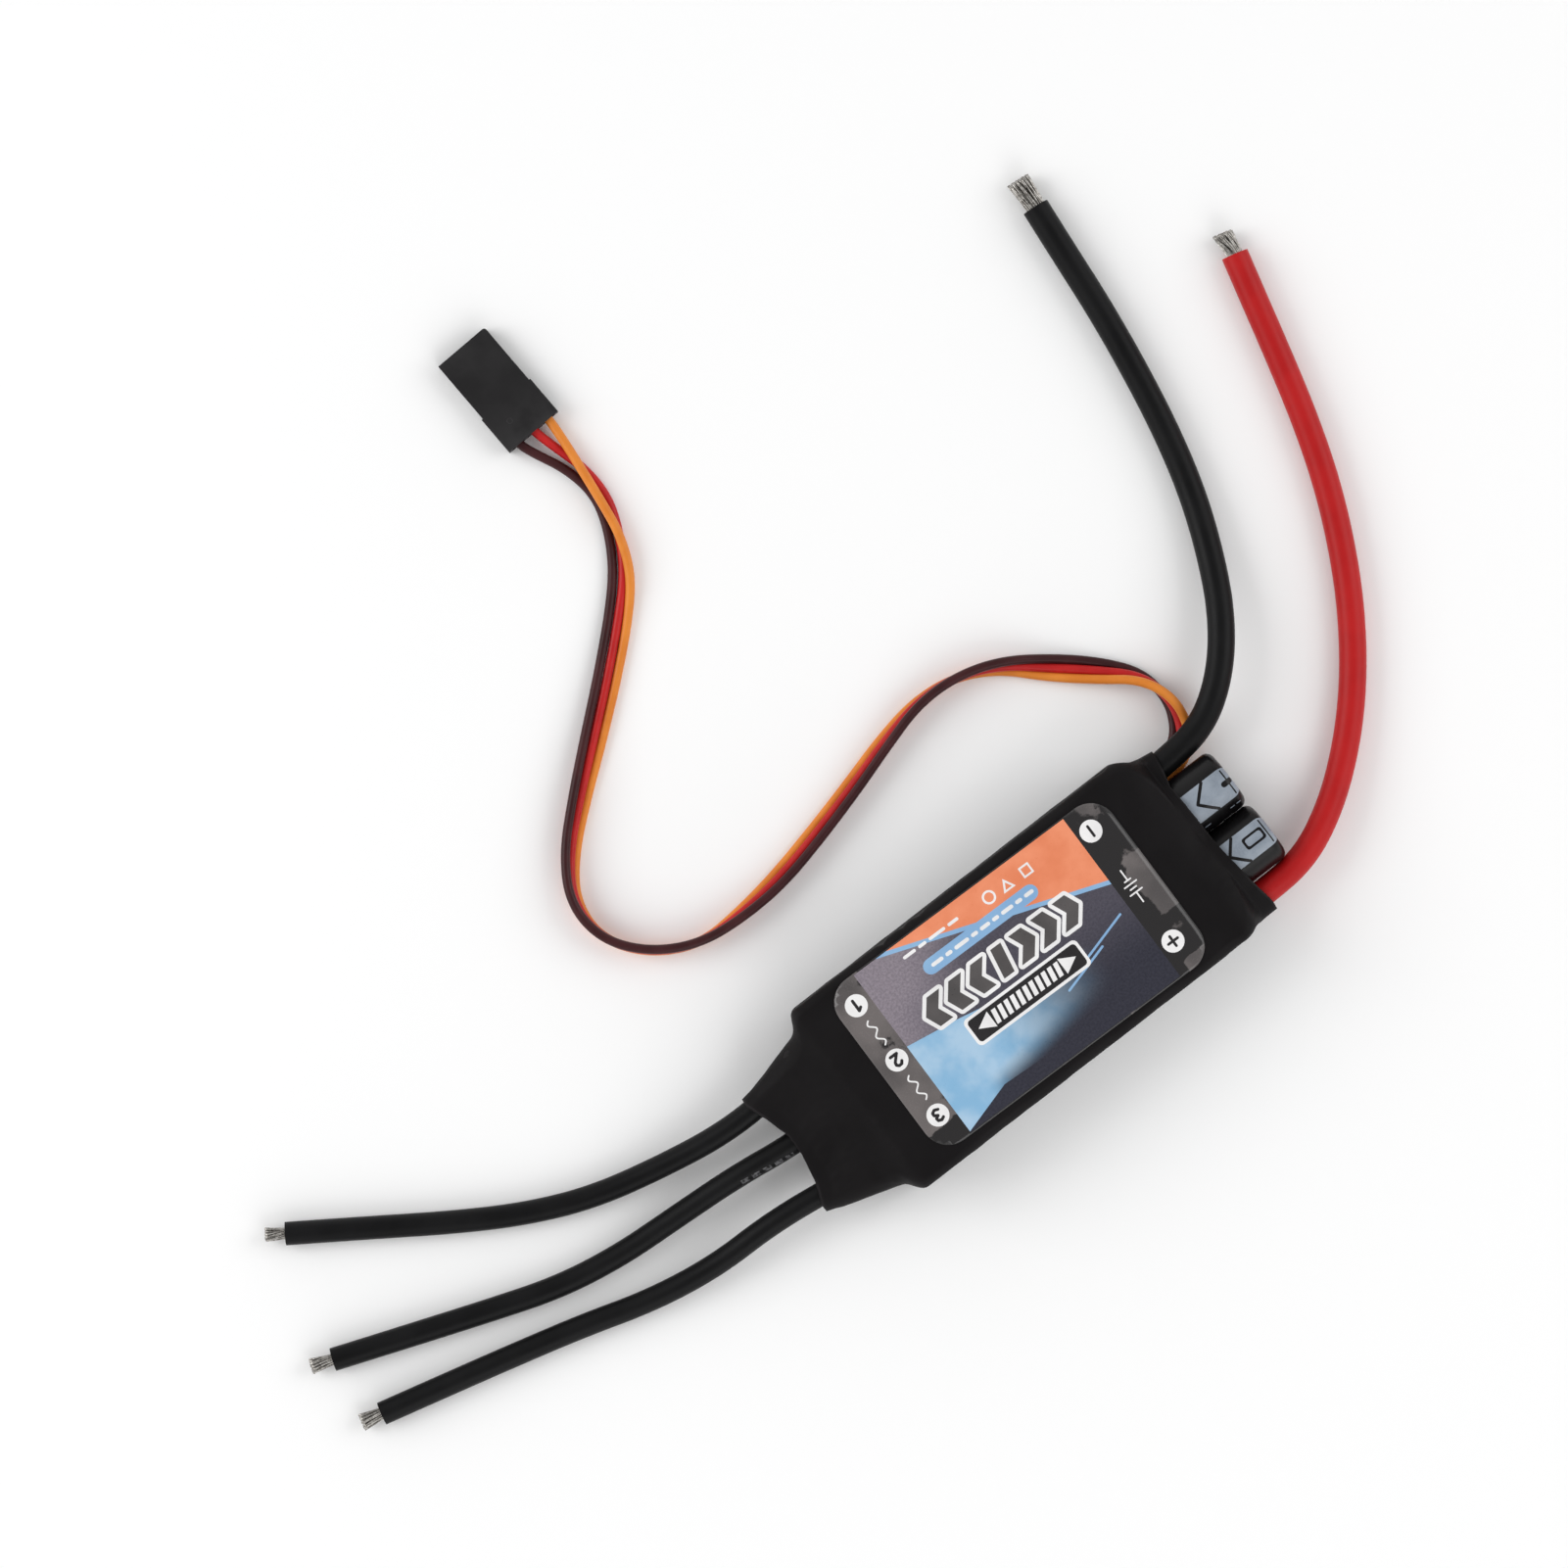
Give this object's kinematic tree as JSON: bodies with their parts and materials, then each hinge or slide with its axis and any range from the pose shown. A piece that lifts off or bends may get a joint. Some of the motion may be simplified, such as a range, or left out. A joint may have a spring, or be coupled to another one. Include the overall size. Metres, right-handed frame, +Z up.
{
  "type": "electronic speed controller",
  "caption": "Flat sleeve-wrapped motor speed controller with two input capacitors, battery and motor wires and a servo lead with plug.",
  "frame": {"origin": "bottom centre of the body, on the surface it rests on", "axes": "+X towards the battery wires and capacitors, -X towards the motor wires, +Z up through the label"},
  "size_m": [0.1809, 0.12, 0.0111],
  "materials": {
    "heat_shrink": "satin",
    "label_print": "gloss",
    "plate_aluminium": "satin",
    "pad_silicone": "matt",
    "board_laminate": "satin",
    "chip_plastic": "matt",
    "ceramic_chip": "satin",
    "ferrite": "matt",
    "gold_pins": "polished",
    "tinned_metal": "satin",
    "can_aluminium": "satin",
    "capacitor_wrap": "gloss",
    "bung_rubber": "matt",
    "silicone_black": "satin",
    "silicone_red": "satin",
    "servo_brown": "satin",
    "servo_red": "satin",
    "servo_orange": "satin",
    "plug_plastic": "satin"
  },
  "bodies": {
    "root": {"battery_core_negative": "tinned_metal", "battery_core_positive": "tinned_metal", "battery_tip_negative": "tinned_metal", "battery_tip_positive": "tinned_metal", "battery_wire_negative": "silicone_black", "battery_wire_positive": "silicone_red", "bec_inductor": "ferrite", "bec_regulator": "chip_plastic", "bulk_ceramics": "ceramic_chip", "capacitor_bung_1": "bung_rubber", "capacitor_bung_2": "bung_rubber", "capacitor_can_1": "can_aluminium", "capacitor_can_2": "can_aluminium", "capacitor_leads_1": "tinned_metal", "capacitor_leads_2": "tinned_metal", "capacitor_wrap_1": "capacitor_wrap", "capacitor_wrap_2": "capacitor_wrap", "chip_capacitors": "ceramic_chip", "chip_resistors": "chip_plastic", "control_board": "board_laminate", "crystal": "tinned_metal", "gate_drivers": "chip_plastic", "header_pins": "gold_pins", "header_spacer": "chip_plastic", "heat_shrink_sleeve": "heat_shrink", "heatsink_plate": "plate_aluminium", "label": "label_print", "microcontroller": "chip_plastic", "mosfets": "chip_plastic", "motor_core_a": "tinned_metal", "motor_core_b": "tinned_metal", "motor_core_c": "tinned_metal", "motor_tip_a": "tinned_metal", "motor_tip_b": "tinned_metal", "motor_tip_c": "tinned_metal", "motor_wire_a": "silicone_black", "motor_wire_b": "silicone_black", "motor_wire_c": "silicone_black", "power_board": "board_laminate", "servo_contact_ground": "gold_pins", "servo_contact_signal": "gold_pins", "servo_contact_supply": "gold_pins", "servo_plug_housing": "plug_plastic", "servo_solder_ends": "tinned_metal", "servo_wire_ground": "servo_brown", "servo_wire_signal": "servo_orange", "servo_wire_supply": "servo_red", "thermal_pad": "pad_silicone"}
  },
  "joints": []
}
